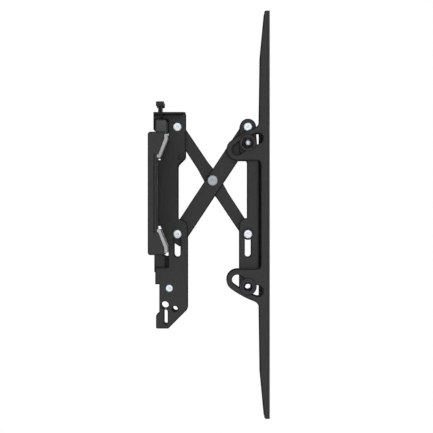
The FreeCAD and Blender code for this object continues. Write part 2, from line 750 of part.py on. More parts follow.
def makeWallBracket(arm):
    body = newBody(arm, arm.word + "_wall_bracket")
    plate = bracketOutline(d.notchTop, d.notchFoot)
    inner = bracketOutline(d.innerNotchTop, d.innerNotchFoot)
    slab(arm, body, "OuterPlate", lambda s: addPolygon(s, plate.values()), 0, d.bracketSheet)
    webs = {
        "LegWeb": (d.bracketBack, d.legFoot, d.bracketSheet - 0.5, d.bracketTop - d.legFoot),
        "HeelWeb": (d.heelBack, -d.heelFoot, d.bracketSheet - 0.3, d.heelFoot - d.heelTop),
        "FootWeb": (d.footBack, -d.bracketFoot, d.bracketSheet - 0.5, d.bracketFoot - d.heelFoot - 3),
    }
    for name, (x, z, thick, high) in webs.items():
        corners = [(x, z), (x + thick, z), (x + thick, z + high), (x, z + high)]
        slab(arm, body, name, lambda s, c=corners: addPolygon(s, c), 0, farPlateFar)
    slab(arm, body, "InnerPlate", lambda s: addPolygon(s, inner.values()), farPlateNear, farPlateFar)
    flange = [
        (d.bracketBack + 0.6, d.bracketTop - d.bracketSheet),
        (d.bracketUpperFront - 3.3, d.bracketTop - d.bracketSheet),
        (d.bracketUpperFront - 3.3, d.bracketTop), (d.bracketBack + 0.6, d.bracketTop),
    ]
    slab(arm, body, "TopFlange", lambda s: addPolygon(s, flange), -d.flangeWide, d.bracketSheet)
    roundCorners(body, "Corners", [plate[name] for name in ("cutHead", "shoulder", "waistTop")], d.bracketRound)
    roundCorners(body, "BossCorner", [plate["boss"]], d.bossRound)
    small = [plate[name] for name in ("cutFoot", "foot", "top", "nestTop", "nestFoot")]
    roundCorners(body, "SmallCorners", small, 1.5)
    markX, markZ = d.bracketUpperFront - 4.9, d.waistTop + d.embossRise
    run = (d.embossLength / 2 - d.embossHalf) * cosine(size(45))
    mark = lambda s: addSlantedSlot(s, markX - run, markZ - run, markX + run, markZ + run, d.embossHalf)
    slab(arm, body, "Emboss", mark, -d.embossHigh, 0)

    def holes(sketch):
        addCircle(sketch, d.pivotReach, d.pivotTop, d.pinRadius)
        addSlot(sketch, d.pivotReach, pinRestHeight - d.foldTravel, pinRestHeight + d.movingGap, slotHalf)
        addCircle(sketch, d.latchPivotReach, -d.latchPivotDrop, d.latchPin)
        addCircle(sketch, d.keyholeReach, -d.keyholeDrop, d.keyholeRadius)
        addSlot(sketch, d.keySlotReach, d.keySlotHalf - d.keySlotFoot, -d.keySlotTop - d.keySlotHalf,
                d.keySlotHalf)
        addCircle(sketch, d.cordHoleReach, -d.cordHoleDrop, d.cordHoleRadius)

    pierce(arm, body, "Holes", holes, 0, farPlateFar)
    postHole = lambda s: addCircle(s, d.springReach, -d.springTop, d.postRadius)
    pierce(arm, body, "PostHole", postHole, farPlateNear, farPlateFar)
    tapping = sketchOn(body, "XY_Plane", "ScrewHoleSketch")
    addCircle(tapping, d.screwReach, -arm.side * screwDepth(), d.screwRadius + d.runGap)
    bind(tapping, "AttachmentOffset.Base.z", d.bracketTop + 1)
    cut = body.newObject("PartDesign::Pocket", "ScrewHole")
    cut.Profile = tapping
    bind(cut, "Length", d.bracketSheet + 2)
    doc.recompute()
    nodes.append(body)


def makeRivet(arm, label, x, z, head, near, far, radius=d.pinRadius):
    """Riveted pin with a rounded head outside each of two depths."""
    near, far = size(near), size(far)
    top, foot = near - d.rivetHigh, far + d.rivetHigh
    body = turned(arm, arm.word + label, x, z, [
        (0, top), (head, top), (head, near), (radius, near),
        (radius, far), (head, far), (head, foot), (0, foot),
    ])
    along = -arm.side
    roundRims(body, "Domes", [(1, head, along * top), (1, head, along * foot)], d.rivetHigh * 0.72)
    nodes.append(body)


# ---------------------------------------------------------------- latch
def makeLatch(arm):
    """Sliding latch whose finger stands behind the lower lip."""
    near, far = d.bracketSheet + 0.3, d.bracketSheet + 0.3 + d.latchSheet
    body = newBody(arm, arm.word + "_latch_plate")
    inner = d.lipInner - 1.5
    back = d.heelBack + d.bracketSheet - 0.3 + d.movingGap + 0.2
    fingerBack = d.lowerBack - 1.0
    step = d.lipTip + 3.3
    fingerFoot = d.heelTop - d.latchTravel - d.movingGap
    outline = [
        (fingerBack, -step + 8), (fingerBack + 3.6, -step + 12), (inner - 1.6, -step + 12), (inner, -step + 8),
        (inner, -step), (d.lipInner + 0.8, -step), (d.lipInner + 0.8, -fingerFoot + 2.5),
        (d.latchPivotReach + 7.6, -d.latchPivotDrop + 12.2), (d.cordHoleReach + 5.4, -d.latchPivotDrop + 6),
        (d.cordHoleReach + 5.4, -d.springFoot + 2), (d.springReach + 2.6, -d.springFoot),
        (d.springReach + 2.6, -d.springFoot - 2), (d.cordHoleReach + 5.4, -d.springFoot - 4),
        (d.cordHoleReach + 5.4, -d.cordHoleDrop - 6.2), (d.cordHoleReach - 5.1, -d.cordHoleDrop - 6.2),
        (d.cordHoleReach - 5.1, -d.latchPivotDrop - 7.8), (back, -d.latchPivotDrop + 1.2),
        (back, -fingerFoot - 1.5), (back, -fingerFoot), (fingerBack, -fingerFoot),
    ]
    outline.remove(outline[-3])
    slab(arm, body, "Plate", lambda s: addPolygon(s, outline), near, far)
    tab = [
        (d.springReach - 2.6, -d.springFoot - 1.6), (d.springReach + 2.6, -d.springFoot - 1.6),
        (d.springReach + 2.6, -d.springFoot), (d.springReach - 2.6, -d.springFoot),
    ]
    slab(arm, body, "SpringTab", lambda s: addPolygon(s, tab), near, farPlateNear - d.movingGap)
    roundCorners(body, "TailCorners", [outline[13], outline[14]], 2.5)

    def holes(sketch):
        foot = -d.latchPivotDrop - d.runGap
        head = -d.latchPivotDrop + d.latchTravel + d.runGap
        addSlot(sketch, d.latchPivotReach, foot, head, d.latchPin + d.runGap)
        addCircle(sketch, d.cordHoleReach + 0.7, -d.cordHoleDrop + 0.6, d.cordHoleRadius + 0.1)

    pierce(arm, body, "Holes", holes, near, far)
    nodes.append(body)


def makeLatchSpring(arm):
    """Coil spring between the post and the latch's tab, its ends closed on themselves."""
    gap = 0.1
    depth = (d.bracketSheet + 0.3 + d.latchSheet + farPlateNear) / 2
    low = -(d.springFoot - gap).value
    high = -(d.springTop + d.postRadius + gap).value
    wire, radius = d.springWire.value / 2, d.springRadius.value
    turns = round((high - low - 2 * wire) / d.springPitch.value)
    tall = high - low - 2 * wire
    helix = Part.makeHelix(tall / turns, tall, radius)
    circle = Part.Wire([Part.makeCircle(wire, Vector(radius, 0, 0), Vector(0, 1, 0))])
    coil = Part.Wire(helix).makePipeShell([circle], True, True)
    spring = doc.addObject("Part::Feature", arm.word + "_latch_spring")
    spring.Label = arm.word + "_latch_spring"
    spring.Shape = coil
    place(spring, d.springReach, arm.y(depth), size(low + wire))
    nodes.append(spring)
    turned_post = turned(arm, arm.word + "_spring_post", d.springReach, -d.springTop, [
        (0, d.bracketSheet + 0.3 + d.latchSheet), (d.postRadius, d.bracketSheet + 0.3 + d.latchSheet),
        (d.postRadius, farPlateFar), (d.postRadius + 1.4, farPlateFar), (d.postRadius + 1.4, farPlateFar + 1.0),
        (0, farPlateFar + 1.0),
    ])
    nodes.append(turned_post)


# ---------------------------------------------------------------- links
def squareRound(body):
    """Round the upright corners of a bar that was drawn square, in the bar's own frame."""
    base = body.Tip
    names = [f"Edge{number}" for number, edge in enumerate(base.Shape.Edges, start=1)
             if isinstance(edge.Curve, Part.Line) and abs(abs(edge.Curve.Direction.y) - 1) < 1e-6]
    addFillet(body, "Corners", base, names, d.outerLinkRound)


def makeLinks(arm):
    half = linkLength / 2
    centre = (centreReach, centreHeight)

    def link(label, lean, near, far, outline, ends, boss, holes):
        body = newBody(arm, arm.word + label, *centre, Rotation(Vector(0, 1, 0), lean))
        slab(arm, body, "Bar", lambda s: addPolygon(s, outline), near, far)

        def rounds(sketch):
            addCircle(sketch, 0, half, ends)
            addCircle(sketch, 0, -half, ends)
            addCircle(sketch, 0, 0, boss)

        if boss:
            slab(arm, body, "Rounds", rounds, near, far)
        else:
            squareRound(body)

        def bores(sketch):
            for z, radius in holes:
                addCircle(sketch, 0, z, radius)

        pierce(arm, body, "Bores", bores, near, far)
        nodes.append(body)

    turning = d.pinRadius + d.runGap
    end, waist = d.innerLinkEnd / 2, d.innerLinkWaist / 2
    shoulder, boss = 20, d.innerLinkBoss
    tapered = [
        (-end, -half), (end, -half), (waist, -shoulder), (boss * 0.92, 0), (waist, shoulder),
        (end, half), (-end, half), (-waist, shoulder), (-boss * 0.92, 0), (-waist, -shoulder),
    ]
    link("_inner_link", -linkLean, innerLinkNear, innerLinkFar, tapered, end, boss,
         [(half, turning), (-half, d.pinRadius), (size(0), d.pinRadius)])
    left, right = d.outerLinkShift - d.outerLinkWidth / 2, d.outerLinkShift + d.outerLinkWidth / 2
    top = half + d.outerLinkTail
    neck = half + 2
    bar = [
        (left, -top), (right, -top), (right, half - 8), (right - 4, neck), (right - 7, neck + 4.5),
        (left + 4, neck + 4.5), (left, neck),
    ]
    link("_outer_link", linkLean, outerLinkNear, outerLinkFar, bar, None, None,
         [(half, turning), (-half, d.pinRadius), (size(0), turning)])


def makeLinkHardware(arm):
    far = farPlateFar
    lower = pinRestHeight
    makeRivet(arm, "_wall_pivot_rivet", d.pivotReach, d.pivotTop, d.rivetHead, 0, far)
    makeRivet(arm, "_wall_slide_rivet", d.pivotReach, lower, d.rivetHead, -d.faceGap, far + d.faceGap)
    makeRivet(arm, "_head_pivot_rivet", headReach, d.pivotTop, d.rivetHead, 0, far)
    collar = d.washerThick + 2 * d.faceGap
    makeRivet(arm, "_head_slide_rivet", headReach, lower, d.rivetHead, -collar, far + d.faceGap)
    makeRivet(arm, "_centre_rivet", centreReach, centreHeight, d.centreHead,
              outerLinkNear - d.faceGap, innerLinkFar)
    turning = d.pinRadius + d.runGap
    gap = d.faceGap
    longNear, longFar = d.bracketSheet + gap, innerLinkNear - gap
    backNear, backFar = outerLinkFar + gap, farPlateNear - gap
    thinNear, thinFar = innerLinkFar + gap, farPlateNear - gap
    outNear, outFar = d.bracketSheet + gap, outerLinkNear - gap
    spacer, top = d.spacerRadius, d.pivotTop
    rings(arm, arm.word + "_inner_link_spacers", [
        (d.pivotReach, top, longNear, longFar, spacer, turning),
        (headReach, lower, longNear, longFar, spacer, turning)])
    rings(arm, arm.word + "_inner_link_washers", [
        (d.pivotReach, top, thinNear, thinFar, spacer, turning),
        (headReach, lower, thinNear, thinFar, spacer, turning)])
    rings(arm, arm.word + "_outer_link_spacers", [
        (d.pivotReach, lower, backNear, backFar, spacer, turning),
        (headReach, top, backNear, backFar, spacer, turning)])
    rings(arm, arm.word + "_outer_link_washers", [
        (d.pivotReach, lower, outNear, outFar, spacer, turning),
        (headReach, top, outNear, outFar, spacer, turning)])
    rings(arm, arm.word + "_centre_washer", [
        (centreReach, centreHeight, outerLinkFar + gap, innerLinkNear - gap, d.centreHead + 2, turning)])
    rings(arm, arm.word + "_slide_washer", [
        (headReach, lower, -gap - d.washerThick, -gap, d.slideWasher, turning)])


# ---------------------------------------------------------------- head bracket
def makeHeadBracket(arm):
    body = newBody(arm, arm.word + "_head_bracket")
    rise = headWaist - headBack
    outline = [
        (headBack, lowerBolt), (headFront - 0.3, lowerBolt), (headFront, lowerBolt + 8),
        (headFront, upperBolt), (headReach + d.headBossRadius - 0.6, d.pivotTop + 2),
        (headReach - d.headBossRadius, d.pivotTop + 2), (headBack, d.pivotTop - 6),
        (headBack, d.headWaistTop + rise + 2), (headWaist, d.headWaistTop),
        (headWaist, d.headWaistFoot), (headBack, d.headWaistFoot - 0.5),
    ]
    end = (headFront - 0.3 - headBack) / 2

    def plate(sketch):
        addPolygon(sketch, outline)

    def rounds(sketch):
        addCircle(sketch, headReach, d.pivotTop, d.headBossRadius)
        addCircle(sketch, headBack + end, lowerBolt, end)

    web = [
        (headFront - 1, -d.headWebFoot), (headFront + d.headSheet, -d.headWebFoot),
        (headFront + d.headSheet, d.headWebTop), (headFront - 1, d.headWebTop),
    ]
    for name, near, far in (("Outer", size(0), d.bracketSheet), ("Inner", farPlateNear, farPlateFar)):
        slab(arm, body, name + "Plate", plate, near, far)
        slab(arm, body, name + "Rounds", rounds, near, far)
        if name == "Outer":
            slab(arm, body, "Web", lambda s: addPolygon(s, web), 0, farPlateFar)
    roundCorners(body, "WaistCorner", [outline[8]], 4.0)
    roundCorners(body, "BossCorner", [outline[10]], d.headBossRound)
    bends = [(headFront + d.headSheet, -arm.side * depth) for depth in (size(0), farPlateFar)]
    base = body.Tip
    addFillet(body, "Bends", base, edgesAlong(base.Shape, 2, bends), d.headBend)

    def holes(sketch):
        addCircle(sketch, headReach, d.pivotTop, d.pinRadius)
        addSlot(sketch, headReach, pinRestHeight - d.foldTravel, pinRestHeight + d.movingGap, slotHalf)
        addCircle(sketch, headReach, lowerBolt, d.bushBody)

    pierce(arm, body, "Holes", holes, 0, farPlateFar)
    pierce(arm, body, "StudHole", lambda s: addCircle(s, headReach, upperBolt, d.studRadius), 0, d.bracketSheet)
    nodes.append(body)


def makeTiltHardware(arm):
    """Clamping stud and nut above, hollow riveted bush below; their collars run in the rail's slots."""
    collarTop = earNear + d.faceGap
    washerFar = earNear - d.faceGap
    washerNear = washerFar - d.tiltWasherThick
    nutNear = washerNear - d.nutHigh
    end = earNear - d.studEnd
    stud = turned(arm, arm.word + "_tilt_stud", headReach, upperBolt, [
        (0, end), (d.studRadius - 0.8, end), (d.studRadius, end + 0.8), (d.studRadius, collarTop),
        (collarRadius, collarTop), (collarRadius, 0), (d.studRadius, 0),
        (d.studRadius, d.bracketSheet), (0, d.bracketSheet),
    ])
    nodes.append(stud)
    nut = newBody(arm, arm.word + "_tilt_nut", headReach, upperBolt)
    corner = d.nutFlats / (2 * cosine(size(30)))

    def hexagon(sketch):
        turns = [size(60 * i + 12) for i in range(6)]
        addPolygon(sketch, [(corner * cosine(turn), corner * sine(turn)) for turn in turns])
        addCircle(sketch, 0, 0, d.studRadius)

    slab(arm, nut, "Hexagon", hexagon, nutNear, washerNear)
    nodes.append(nut)
    bore = d.studRadius + d.runGap
    rings(arm, arm.word + "_tilt_washers", [
        (headReach, upperBolt, washerNear, washerFar, d.tiltWasher, bore),
        (headReach, lowerBolt, washerNear, washerFar, d.tiltWasher, d.bushBody + d.runGap)])
    rings(arm, arm.word + "_friction_washers", [
        (headReach, z, earFar + d.faceGap, -d.faceGap, d.tiltWasher, collarRadius + d.runGap)
        for z in (upperBolt, lowerBolt)])
    flangeNear = washerNear - d.bushFlangeThick
    bush = turned(arm, arm.word + "_tilt_bush", headReach, lowerBolt, [
        (d.bushBore, flangeNear), (d.bushFlange, flangeNear),
        (d.bushFlange, washerNear), (d.bushBody, washerNear),
        (d.bushBody, collarTop), (collarRadius, collarTop), (collarRadius, 0), (d.bushBody, 0),
        (d.bushBody, farPlateFar), (d.bushFlange, farPlateFar), (d.bushFlange, farPlateFar + d.bushFlangeThick),
        (d.bushBore, farPlateFar + d.bushFlangeThick),
    ])
    roundRims(bush, "FlangeRims", [
        (1, d.bushFlange, -arm.side * flangeNear),
        (1, d.bushFlange, -arm.side * (farPlateFar + d.bushFlangeThick))], 0.6)
    nodes.append(bush)


# ---------------------------------------------------------------- television rail
def makeRail(arm):
    label = arm.word + "_tv_rail"
    channel = newBody(arm, label + "_channel")
    middle, half = d.tiltHeight, railHalf
    front = railFront
    taper = d.railTaperStart
    earStart = d.boltHalf + 26.0
    cutHalf = earBottom() - middle

    def edge(cutout):
        """Outline of a flange: its free edge steps back between the ears when cutout is set."""
        lower = [
            (front, middle - half), (railEndEdge, middle - half), (railTaperEdge, middle - taper),
            (railEdge, middle - earStart),
        ]
        between = [(railEdge, middle - cutHalf), (railCutEdge, middle - cutHalf),
                   (railCutEdge, middle + cutHalf), (railEdge, middle + cutHalf)] if cutout else []
        upper = [
            (railEdge, middle + earStart), (railTaperEdge, middle + taper), (railEndEdge, middle + half),
            (front, middle + half),
        ]
        return lower + between + upper

    slab(arm, channel, "OuterFlange", lambda s: addPolygon(s, edge(True)), earNear, earFar)
    web = [(front - d.railSheet, middle - half), (front, middle - half), (front, middle + half),
           (front - d.railSheet, middle + half)]
    slab(arm, channel, "Web", lambda s: addPolygon(s, web), earNear, railFar)
    slab(arm, channel, "InnerFlange", lambda s: addPolygon(s, edge(False)), railFar - d.railSheet, railFar)
    y = -arm.side
    bends = [(front, y * earNear), (front, y * railFar)]
    roundCorners(channel, "Bends", bends, d.railBend, axis=2)
    ends = [(railEndEdge, middle - half), (railEndEdge, middle + half)]
    roundCorners(channel, "EndCorners", ends, d.railEndRound)
    sketch = sketchOn(channel, "YZ_Plane", "PatternSketch")
    centre = y * (earNear + d.railWidth / 2)
    run = (d.screwSlotLength - 2 * d.screwHoleRadius) / 2
    for sign in (-1, 1):
        addCircle(sketch, centre, middle + sign * d.patternTall / 2, d.screwHoleRadius)
        for step in (1, 2):
            z = middle + sign * (d.patternTall - step * d.patternStep) / 2
            addSlot(sketch, centre, z - run, z + run, d.screwHoleRadius)
    for z in (-38, -12, 12, 38):
        addSlot(sketch, centre, middle + z - 5, middle + z + 5, size(3))
    bind(sketch, "AttachmentOffset.Base.z", front + 1)
    before = channel.Shape.Volume
    holes = channel.newObject("PartDesign::Pocket", "PatternHoles")
    holes.Profile = sketch
    bind(holes, "Length", d.railSheet + 2)
    doc.recompute()
    if channel.Shape.Volume > before - 1:
        raise RuntimeError(label + ": the pattern holes cut nothing")

    low = arm.low(earNear, earFar)
    thick = d.railSheet
    rim = d.tiltSlotHalf + d.earRim
    outer = boltArm + rim
    ears, slots = [], []
    for word, sign in (("upper", 1), ("lower", -1)):
        name = f"{label}_{word}"
        backAngle = size(boltAngle) - d.tiltBackAngle
        frontAngle = size(boltAngle) + d.tiltFrontAngle
        endX = tiltReach - boltArm * cosine(backAngle)
        endZ = middle + sign * boltArm * sine(backAngle)
        nearX = tiltReach - boltArm * cosine(frontAngle)
        nearZ = middle + sign * boltArm * sine(frontAngle)
        bottom = earBottom()
        # ear: sector about the tilt axis, its round end and the block that fills below it
        sector = rod(name + "_sector", tiltReach, low, middle, outer, thick)
        upto = railEdge + 1
        clipFoot = bottom if sign > 0 else 2 * middle - bottom - 3 * d.boltHalf
        clip = block(name + "_clip", endX, low - 1, clipFoot, upto - endX, thick + 2, 3 * d.boltHalf)
        crescent = joined("Part::MultiCommon", name + "_crescent", sector, clip)
        disc = rod(name + "_end", endX, low, endZ, rim, thick)
        wedge = wedgeOf(arm, name, endX, endZ, sign, backAngle, outer, low, thick)
        ears += [crescent, disc, wedge]
        # slot: ring sector between its end circles
        start = min(boltAngle - sizes["tiltBackAngle"], boltAngle + sizes["tiltFrontAngle"])
        sweep = d.tiltBackAngle + d.tiltFrontAngle
        ring = rod(name + "_slot_outer", tiltReach, low - 1, middle, boltArm + d.tiltSlotHalf, thick + 2)
        bind(ring, "Angle", sweep)
        # a cylinder's sector starts on its own +X, which this placement turns onto the slot's first end
        begin = 180 + start if sign > 0 else 180 - start - sweep.value
        spin = Rotation(Vector(0, 1, 0), begin)
        ring.Placement.Rotation = spin.multiply(Rotation(Vector(1, 0, 0), -90))
        core = rod(name + "_slot_core", tiltReach, low - 2, middle, boltArm - d.tiltSlotHalf, thick + 4)
        band = joined("Part::Cut", name + "_slot_band", ring, core)
        slots.append(band)
        slots.append(rod(name + "_slot_back", endX, low - 1, endZ, d.tiltSlotHalf, thick + 2))
        slots.append(rod(name + "_slot_front", nearX, low - 1, nearZ, d.tiltSlotHalf, thick + 2))
    whole = joined("Part::MultiFuse", label + "_whole", channel, *ears)
    whole.Refine = True
    cutter = joined("Part::MultiFuse", label + "_cutter", *slots)
    doc.recompute()
    blank = joined("Part::Cut", label + "_blank", whole, cutter)
    doc.recompute()
    rail = doc.addObject("Part::Fillet", label)
    rail.Label = label
    rail.Base = blank
    rail.Edges = concaveEdges(blank.Shape, arm)
    doc.recompute()
    if len(rail.Edges) != 4 or rail.Shape.Volume <= blank.Shape.Volume:
        raise RuntimeError(label + ": the ears' inner corners weren't rounded")
    nodes.append(rail)


def earBottom():
    """Height of the upper ear's level lower edge."""
    backAngle = size(boltAngle) - d.tiltBackAngle
    return d.tiltHeight + boltArm * sine(backAngle) - d.tiltSlotHalf - d.earRim


def wedgeOf(arm, name, endX, endZ, sign, backAngle, outer, low, thick):
    """Pie slice that fills between an ear's round end and its outer arc."""
    slice_ = rod(name + "_wedge", tiltReach, low, d.tiltHeight, outer, thick)
    bind(slice_, "Angle", size(12))
    start = backAngle.value
    spin = Rotation(Vector(0, 1, 0), 180 + start) if sign > 0 else Rotation(Vector(0, 1, 0), 180 - start - 12)
    slice_.Placement.Rotation = spin.multiply(Rotation(Vector(1, 0, 0), -90))
    core = rod(name + "_wedge_core", tiltReach, low - 1, d.tiltHeight, boltArm, thick + 2)
    return joined("Part::Cut", name + "_wedge_band", slice_, core)


def concaveEdges(shape, arm):
    """Edges where the ears' arcs and level edges meet the flange, with the fillet each one takes."""
    picked = []
    outer = (boltArm + d.tiltSlotHalf + d.earRim).value
    reach = tiltReach.value - railEdge.value
    rise = math.sqrt(outer ** 2 - reach ** 2)
    cut = (earBottom() - d.tiltHeight).value
    middle = d.tiltHeight.value
    wanted = [(railEdge.value, middle + s * rise, d.earFillet.value) for s in (-1, 1)]
    wanted += [(railCutEdge.value, middle + s * cut, d.cutFillet.value) for s in (-1, 1)]
    y = arm.low(earNear, earFar).value + d.railSheet.value / 2
    for number, edge in enumerate(shape.Edges, start=1):
        if not isinstance(edge.Curve, Part.Line) or abs(abs(edge.Curve.Direction.y) - 1) > 1e-6:
            continue
        point = edge.CenterOfMass
        for x, z, radius in wanted:
            if abs(point.x - x) < 0.25 and abs(point.z - z) < 0.25 and abs(point.y - y) < 0.5:
                picked.append((number, radius, radius))
    return picked


makeWallPlate()
for arm in (Arm("left", -1), Arm("right", 1)):
    makeHook(arm)
    makeLevelScrew(arm)
    makeWallBracket(arm)
    makeLatch(arm)
    makeRivet(arm, "_latch_rivet", d.latchPivotReach, -d.latchPivotDrop, d.latchHead,
              0, farPlateFar, d.latchPin)
    makeLatchSpring(arm)
    makeLinks(arm)
    makeLinkHardware(arm)
    makeHeadBracket(arm)
    makeTiltHardware(arm)
    makeRail(arm)
doc.recompute()

for thing in doc.Objects:
    if "Invalid" in thing.State or "Error" in thing.State:
        raise RuntimeError(f"{thing.Label} failed: {thing.State}")
os.makedirs("parts", exist_ok=True)
for node in nodes:
    shape = node.Shape
    if shape.isNull() or not shape.isValid() or not shape.Solids:
        raise RuntimeError(f"{node.Label} has no valid shape")
for node in nodes:
    node.Shape.exportStep(f"parts/{node.Label}.step")
    box = node.Shape.BoundBox
    print(f"{node.Label:28s} {len(node.Shape.Solids)} solids {node.Shape.Volume / 1000:9.3f} cm3  "
          f"x {box.XMin:7.1f} {box.XMax:7.1f}  y {box.YMin:7.1f} {box.YMax:7.1f}  "
          f"z {box.ZMin:7.1f} {box.ZMax:7.1f}")
print(len(nodes), "nodes; link", round(linkLength.value, 2), "lean", round(linkLean, 2))
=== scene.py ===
import json
import math
import bpy
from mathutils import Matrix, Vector


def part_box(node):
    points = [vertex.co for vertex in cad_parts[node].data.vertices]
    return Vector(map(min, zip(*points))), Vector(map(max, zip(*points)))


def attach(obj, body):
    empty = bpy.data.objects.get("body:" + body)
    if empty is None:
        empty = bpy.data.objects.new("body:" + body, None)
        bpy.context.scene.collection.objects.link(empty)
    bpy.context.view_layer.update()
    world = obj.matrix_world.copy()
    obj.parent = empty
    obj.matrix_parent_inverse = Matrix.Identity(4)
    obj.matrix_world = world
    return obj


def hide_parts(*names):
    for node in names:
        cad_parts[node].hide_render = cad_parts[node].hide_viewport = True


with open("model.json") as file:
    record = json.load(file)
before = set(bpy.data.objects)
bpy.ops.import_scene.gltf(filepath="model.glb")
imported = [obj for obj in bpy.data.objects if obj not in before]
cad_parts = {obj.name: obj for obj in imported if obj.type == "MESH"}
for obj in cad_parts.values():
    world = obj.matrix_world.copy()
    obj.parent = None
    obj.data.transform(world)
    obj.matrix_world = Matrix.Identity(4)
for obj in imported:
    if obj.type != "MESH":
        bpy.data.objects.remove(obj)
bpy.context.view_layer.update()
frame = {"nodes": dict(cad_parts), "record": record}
nodes = frame["nodes"]
scene = bpy.context.scene
mm = 0.001
print("frame loaded:", len(nodes), "nodes")


class Wire:
    # one output socket; sums on it add Math nodes
    def __init__(self, graph, socket):
        self.graph = graph
        self.socket = socket

    def sum(self, operation, other=None, flip=False, clamp=False):
        values = [self] if other is None else [other, self] if flip else [self, other]
        settings = {"operation": operation, "use_clamp": clamp}
        return self.graph.add("Math", settings, dict(enumerate(values)))

    def __add__(self, other):
        return self.sum("ADD", other)

    def __radd__(self, other):
        return self.sum("ADD", other)

    def __sub__(self, other):
        return self.sum("SUBTRACT", other)

    def __rsub__(self, other):
        return self.sum("SUBTRACT", other, flip=True)

    def __mul__(self, other):
        return self.sum("MULTIPLY", other)

    def __rmul__(self, other):
        return self.sum("MULTIPLY", other)

    def __pow__(self, other):
        return self.sum("POWER", other)

    def __gt__(self, other):
        return self.sum("GREATER_THAN", other)

    def __abs__(self):
        return self.sum("ABSOLUTE")

    def clamped(self):
        return self.sum("MULTIPLY", 1.0, clamp=True)


class Graph:
    # the nodes of a material, or of the world
    def __init__(self, owner, shader="Principled BSDF"):
        owner.use_nodes = True
        self.owner = owner
        self.tree = owner.node_tree
        self.shader = self.tree.nodes[shader]

    def add(self, kind, settings=None, inputs=None, out=0):
        node = self.tree.nodes.new("ShaderNode" + kind)
        for key, value in (settings or {}).items():
            if key == "stops":
                points = node.color_ramp.elements
                while len(points) < len(value):
                    points.new(0.5)
                for point, (place, tone) in zip(points, value):
                    point.position = place
                    point.color = (tone, tone, tone, 1)
            else:
                setattr(node, key, value)
        for key, value in (inputs or {}).items():
            self.plug(node.inputs[key], value)
        return Wire(self, node.outputs[out])

    def plug(self, socket, value):
        if isinstance(value, Wire):
            self.tree.links.new(value.socket, socket)
        else:
            socket.default_value = value

    def set(self, **values):
        for key, value in values.items():
            self.plug(self.shader.inputs[key.replace("_", " ")], value)

    def place(self, stretch=(1, 1, 1)):
        where = self.add("TexCoord", out="Object")
        if stretch == (1, 1, 1):
            return where
        return self.add("Mapping", inputs={"Vector": where, "Scale": stretch})

    def noise(self, scale, detail=3.0, roughness=0.55, stretch=(1, 1, 1)):
        values = {"Vector": self.place(stretch), "Scale": scale, "Detail": detail, "Roughness": roughness}
        return self.add("TexNoise", inputs=values)

    def ramp(self, value, *stops):
        return self.add("ValToRGB", {"stops": stops}, {"Fac": value})

    def tint(self, amount, low, high):
        low, high = [(*c, 1) if isinstance(c, tuple) else c for c in (low, high)]
        return self.add("Mix", {"data_type": "RGBA"}, {0: amount, 6: low, 7: high}, out=2)

    def bump(self, height, strength, distance, under=None):
        values = {"Strength": strength, "Distance": distance, "Height": height}
        if under:
            values["Normal"] = under
        return self.add("Bump", inputs=values)

    def dot(self, one, other):
        return self.add("VectorMath", {"operation": "DOT_PRODUCT"}, {0: one, 1: other}, out="Value")

    def edges(self, radius, gain=5.0):
        # the softened normal, and a mask that is 1 along edges, within about the radius
        soft = self.add("Bevel", {"samples": 8}, {"Radius": radius})
        facing = self.dot(soft, self.add("NewGeometry", out="Normal"))
        return soft, ((1 - facing) * gain).clamped()


def scaled(colour, factor):
    return tuple(channel * factor for channel in colour)


def finishGraph(name, **constants):
    graph = Graph(bpy.data.materials.new(name))
    graph.set(**constants)
    return graph


zinc = (0.70, 0.745, 0.81)
# width, strength and darkest tone of the painted shade along the coats' edges
paintedEdgeBand = {"wide": 2.2, "gain": 24.0, "darkest": 0.10}
bareEnd = {"along": 249.75, "above": 39.2, "out": 10.15}      # where the wall plate's lips are sheared
studCore = 2.35
smoothAngle = 32
coats = {
    "sheet": {"colour": (0.0420, 0.0434, 0.0428), "shine": 0.15, "roughness": 0.47,
              "grain": 1500.0, "grainDepth": 0.22, "paintedEdgeShade": 0.95, "wear": 0.05},
    "cast": {"colour": (0.082, 0.083, 0.082), "shine": 0.40, "roughness": 0.58,
             "grain": 700.0, "grainDepth": 0.5, "paintedEdgeShade": 0.6, "wear": 0.12},
    "washer": {"colour": (0.030, 0.031, 0.031), "shine": 0.40, "roughness": 0.42,
               "grain": 900.0, "grainDepth": 0.3, "paintedEdgeShade": 0.9, "wear": 0.05},
}


def powderCoat(name, colour, shine, roughness, grain, grainDepth, paintedEdgeShade, wear):
    # baked powder paint: fine orange peel, a little dust, painted shade along edges for the dark that rounded
    # edges reflect, rubbed here and there
    g = finishGraph(name, Specular_IOR_Level=shine)
    edge = g.edges(paintedEdgeBand["wide"] * mm, paintedEdgeBand["gain"])[1]
    broad = g.noise(14.0, 4.0)
    speck = g.noise(grain, 2.0, 0.6)
    peel = g.noise(grain * 0.28, 2.0, 0.5)
    dust = g.ramp(g.noise(160.0, 5.0, 0.7), (0.52, 0.0), (0.78, 1.0))
    rubbed = (edge * g.ramp(g.noise(210.0, 4.0, 0.65), (0.38, 0.15), (0.62, 1.0))).clamped()
    tone = g.tint(broad, scaled(colour, 0.86), scaled(colour, 1.16))
    tone = g.tint(speck * 0.35, tone, scaled(colour, 1.7))
    tone = g.tint(dust * 0.10, tone, (0.10, 0.10, 0.098))
    tone = g.tint(rubbed * wear, tone, (0.115, 0.118, 0.12))
    gloss = roughness + (speck - 0.5) * 0.16 + (broad - 0.5) * 0.08 + dust * 0.08 - rubbed * 0.10
    # painted shade: the colour darkens towards near black along every edge, for the dark surroundings that
    # rounded edges reflect
    tone = g.tint(edge * paintedEdgeShade, tone, scaled(colour, paintedEdgeBand["darkest"]))
    gloss = gloss + edge * 0.30
    g.set(Base_Color=tone, Roughness=gloss, Normal=g.bump(speck * 0.45 + peel, grainDepth, 0.12 * mm))
    return g


